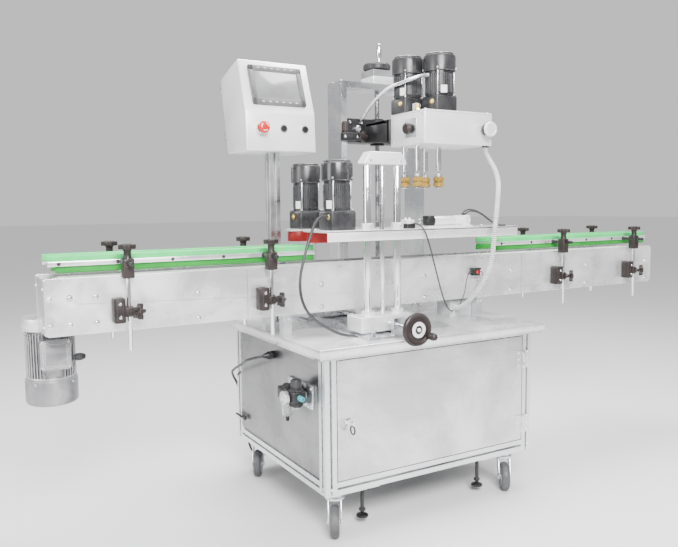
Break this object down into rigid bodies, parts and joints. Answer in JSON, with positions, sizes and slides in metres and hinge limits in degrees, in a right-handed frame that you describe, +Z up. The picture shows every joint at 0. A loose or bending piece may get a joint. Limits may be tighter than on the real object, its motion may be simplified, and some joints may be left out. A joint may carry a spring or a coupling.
{
  "type": "capping machine",
  "caption": "Inline bottle capping machine: chain conveyor with guide rails, side-belt clamps and a spindle head on a gantry, over a wheeled cabinet.",
  "frame": {"origin": "on the floor under the middle of the machine's box, without its mains lead", "axes": "+X along the conveyor in the direction of travel, +Y to the rear, +Z up"},
  "size_m": [2.581, 1.045, 1.6559],
  "materials": {
    "frame_aluminium": "anodised satin, slotted bars",
    "stainless_sheet": "brushed stainless sheet",
    "zinc_bracket": "bright zinc plate",
    "wheel_rubber": "grey-black rubber tread",
    "chain_plastic": "off-white acetal chain plates",
    "black_plastic": "glass-filled nylon",
    "gearbox_paint": "silver-grey enamel",
    "shaft_chrome": "ground and hard-chromed",
    "white_plate": "bright machined plate",
    "motor_black": "black satin paint",
    "belt_red": "red rubber belt facing",
    "wheel_yellow": "amber polyurethane",
    "button_red": "glossy moulded red",
    "button_black": "glossy moulded black",
    "screen_glass": "dark touch panel in a grey bezel",
    "air_unit_black": "moulded filter bodies with clear bowls",
    "rail_green": "green UHMW polyethylene",
    "cord_black": "black PVC sheath",
    "harness_wrap": "pale spiral wrap over a bundle",
    "lock_chrome": "polished cam lock"
  },
  "bodies": {
    "base": {"cabinet_frame": "frame_aluminium", "cabinet_panels": "stainless_sheet", "worktop": "stainless_sheet", "foot_brackets": "zinc_bracket", "conveyor_sides": "stainless_sheet", "conveyor_frame": "stainless_sheet", "conveyor_chain": "chain_plastic", "rail_clamps": "black_plastic", "drive_gearbox": "gearbox_paint", "drive_motor": "gearbox_paint", "control_post": "frame_aluminium", "control_box": "stainless_sheet", "touch_screen": "screen_glass", "air_unit": "air_unit_black", "mains_gland": "black_plastic", "gantry_frame": "white_plate", "clamp_base": "white_plate", "bottle_sensor": "black_plastic", "mains_cord": "cord_black", "mains_coil": "cord_black", "mains_plug": "cord_black", "head_harness": "harness_wrap", "clamp_cable": "cord_black", "sensor_cable": "cord_black"},
    "conveyor_drive": {"drive_shaft": "shaft_chrome"},
    "door": {"door_panel": "stainless_sheet"},
    "lock": {"door_lock": "lock_chrome"},
    "head": {"head_carriage": "motor_black", "head_box": "stainless_sheet", "head_motors": "motor_black"},
    "knob": {"head_knob": "black_plastic"},
    "lift_wheel": {"lift_handwheel": "black_plastic"},
    "front_clamp": {"front_clamp_frame": "white_plate", "front_clamp_posts": "shaft_chrome", "front_clamp_motor": "motor_black", "front_clamp_belt": "belt_red"},
    "rear_clamp": {"rear_clamp_frame": "white_plate", "rear_clamp_motor": "motor_black", "rear_clamp_belt": "belt_red"},
    "crank": {"clamp_crank": "black_plastic"},
    "cylinder_piston": {"cylinder_rod": "shaft_chrome"},
    "stop_mushroom": {"e_stop": "button_red"},
    "start_plunger": {"start_button": "button_black"},
    "stop_plunger": {"stop_button": "button_black"},
    "guide_front_left": {"rail_front_left": "rail_green"},
    "guide_rear_left": {"rail_rear_left": "rail_green"},
    "guide_front_right": {"rail_front_right": "rail_green"},
    "guide_rear_right": {"rail_rear_right": "rail_green"},
    "caster_fl": {"caster_fork_fl": "zinc_bracket"},
    "wheel_fl": {"caster_wheel_fl": "wheel_rubber"},
    "caster_fr": {"caster_fork_fr": "zinc_bracket"},
    "wheel_fr": {"caster_wheel_fr": "wheel_rubber"},
    "caster_rl": {"caster_fork_rl": "zinc_bracket"},
    "wheel_rl": {"caster_wheel_rl": "wheel_rubber"},
    "caster_rr": {"caster_fork_rr": "zinc_bracket"},
    "wheel_rr": {"caster_wheel_rr": "wheel_rubber"},
    "spindle_fl": {"spindle_fl": "wheel_yellow"},
    "spindle_fr": {"spindle_fr": "wheel_yellow"},
    "spindle_rl": {"spindle_rl": "wheel_yellow"},
    "spindle_rr": {"spindle_rr": "wheel_yellow"}
  },
  "joints": [
    {"name": "door_swing", "type": "hinge", "parent": "base", "child": "door", "pos_m": [0.2955, -0.311, 0.365], "axis": [0, 0, 1], "range_deg": [0, 110]},
    {"name": "lock_turn", "type": "hinge", "parent": "door", "child": "lock", "pos_m": [-0.4295, -0.3125, 0.365], "axis": [0, 1, 0], "range_deg": [0, 90]},
    {"name": "conveyor_drive_turn", "type": "hinge", "parent": "base", "child": "conveyor_drive", "pos_m": [-1.1795, 0.0015, 0.768], "axis": [0, 1, 0], "continuous": true},
    {"name": "caster_fl_swivel", "type": "hinge", "parent": "base", "child": "caster_fl", "pos_m": [-0.4515, -0.2545, 0.12], "axis": [0, 0, 1], "continuous": true},
    {"name": "wheel_fl_roll", "type": "hinge", "parent": "caster_fl", "child": "wheel_fl", "pos_m": [-0.4695, -0.28568, 0.05], "axis": [0.866, -0.5, 0], "continuous": true},
    {"name": "caster_fr_swivel", "type": "hinge", "parent": "base", "child": "caster_fr", "pos_m": [0.2555, -0.2545, 0.12], "axis": [0, 0, 1], "continuous": true},
    {"name": "wheel_fr_roll", "type": "hinge", "parent": "caster_fr", "child": "wheel_fr", "pos_m": [0.23537, -0.28435, 0.05], "axis": [0.829, -0.5592, 0], "continuous": true},
    {"name": "caster_rl_swivel", "type": "hinge", "parent": "base", "child": "caster_rl", "pos_m": [-0.4515, 0.3355, 0.12], "axis": [0, 0, 1], "continuous": true},
    {"name": "wheel_rl_roll", "type": "hinge", "parent": "caster_rl", "child": "wheel_rl", "pos_m": [-0.4695, 0.30432, 0.05], "axis": [0.866, -0.5, 0], "continuous": true},
    {"name": "caster_rr_swivel", "type": "hinge", "parent": "base", "child": "caster_rr", "pos_m": [0.2555, 0.3355, 0.12], "axis": [0, 0, 1], "continuous": true},
    {"name": "wheel_rr_roll", "type": "hinge", "parent": "caster_rr", "child": "wheel_rr", "pos_m": [0.24319, 0.30167, 0.05], "axis": [0.9397, -0.342, 0], "continuous": true},
    {"name": "lift_wheel_turn", "type": "hinge", "parent": "base", "child": "lift_wheel", "pos_m": [0.073, 0.293, 1.56], "axis": [0, 0, 1], "range_deg": [-5761, 6481]},
    {"name": "head_lift", "type": "slide", "parent": "base", "child": "head", "axis": [0, 0, 1], "range_m": [-0.08, 0.09], "deforming": ["head_harness"]},
    {"name": "head_knob_turn", "type": "hinge", "parent": "head", "child": "knob", "pos_m": [0.2725, -0.1595, 1.296], "axis": [0, 1, 0], "range_deg": [0, 270]},
    {"name": "spindle_fl_turn", "type": "hinge", "parent": "head", "child": "spindle_fl", "pos_m": [0.0305, -0.0385, 1.2], "axis": [0, 0, 1], "continuous": true},
    {"name": "spindle_fr_turn", "type": "hinge", "parent": "head", "child": "spindle_fr", "pos_m": [0.1245, -0.0385, 1.2], "axis": [0, 0, 1], "continuous": true},
    {"name": "spindle_rl_turn", "type": "hinge", "parent": "head", "child": "spindle_rl", "pos_m": [0.0305, 0.0415, 1.2], "axis": [0, 0, 1], "continuous": true},
    {"name": "spindle_rr_turn", "type": "hinge", "parent": "head", "child": "spindle_rr", "pos_m": [0.1245, 0.0415, 1.2], "axis": [0, 0, 1], "continuous": true},
    {"name": "crank_turn", "type": "hinge", "parent": "base", "child": "crank", "pos_m": [-0.2215, -0.3765, 0.642], "axis": [0, 1, 0], "range_deg": [-865, 2881]},
    {"name": "front_clamp_slide", "type": "slide", "parent": "base", "child": "front_clamp", "axis": [0, -1, 0], "range_m": [-0.012, 0.04], "deforming": ["clamp_cable", "sensor_cable"]},
    {"name": "rear_clamp_slide", "type": "slide", "parent": "base", "child": "rear_clamp", "axis": [0, 1, 0], "range_m": [-0.012, 0.04]},
    {"name": "cylinder_stroke", "type": "slide", "parent": "front_clamp", "child": "cylinder_piston", "axis": [-1, 0, 0], "range_m": [0, 0.025]},
    {"name": "e_stop_press", "type": "slide", "parent": "base", "child": "stop_mushroom", "axis": [0, 1, 0], "range_m": [0, 0.005], "stiffness_N_per_m": 500},
    {"name": "start_press", "type": "slide", "parent": "base", "child": "start_plunger", "axis": [0, 1, 0], "range_m": [0, 0.003], "stiffness_N_per_m": 300},
    {"name": "stop_press", "type": "slide", "parent": "base", "child": "stop_plunger", "axis": [0, 1, 0], "range_m": [0, 0.003], "stiffness_N_per_m": 300},
    {"name": "guide_front_left_adjust", "type": "slide", "parent": "base", "child": "guide_front_left", "axis": [0, 1, 0], "range_m": [-0.015, 0.02]},
    {"name": "guide_rear_left_adjust", "type": "slide", "parent": "base", "child": "guide_rear_left", "axis": [0, -1, 0], "range_m": [-0.015, 0.02]},
    {"name": "guide_front_right_adjust", "type": "slide", "parent": "base", "child": "guide_front_right", "axis": [0, 1, 0], "range_m": [-0.015, 0.02]},
    {"name": "guide_rear_right_adjust", "type": "slide", "parent": "base", "child": "guide_rear_right", "axis": [0, -1, 0], "range_m": [-0.015, 0.02]}
  ],
  "couplings": [
    {"joint": "lift_wheel_turn", "follows": "head_lift", "rad_per_m": 1256.6},
    {"joint": "crank_turn", "follows": "front_clamp_slide", "rad_per_m": 1256.6},
    {"joint": "rear_clamp_slide", "follows": "front_clamp_slide", "ratio": 1},
    {"joint": "spindle_fr_turn", "follows": "spindle_fl_turn", "ratio": 1},
    {"joint": "spindle_rr_turn", "follows": "spindle_rl_turn", "ratio": 1}
  ]
}
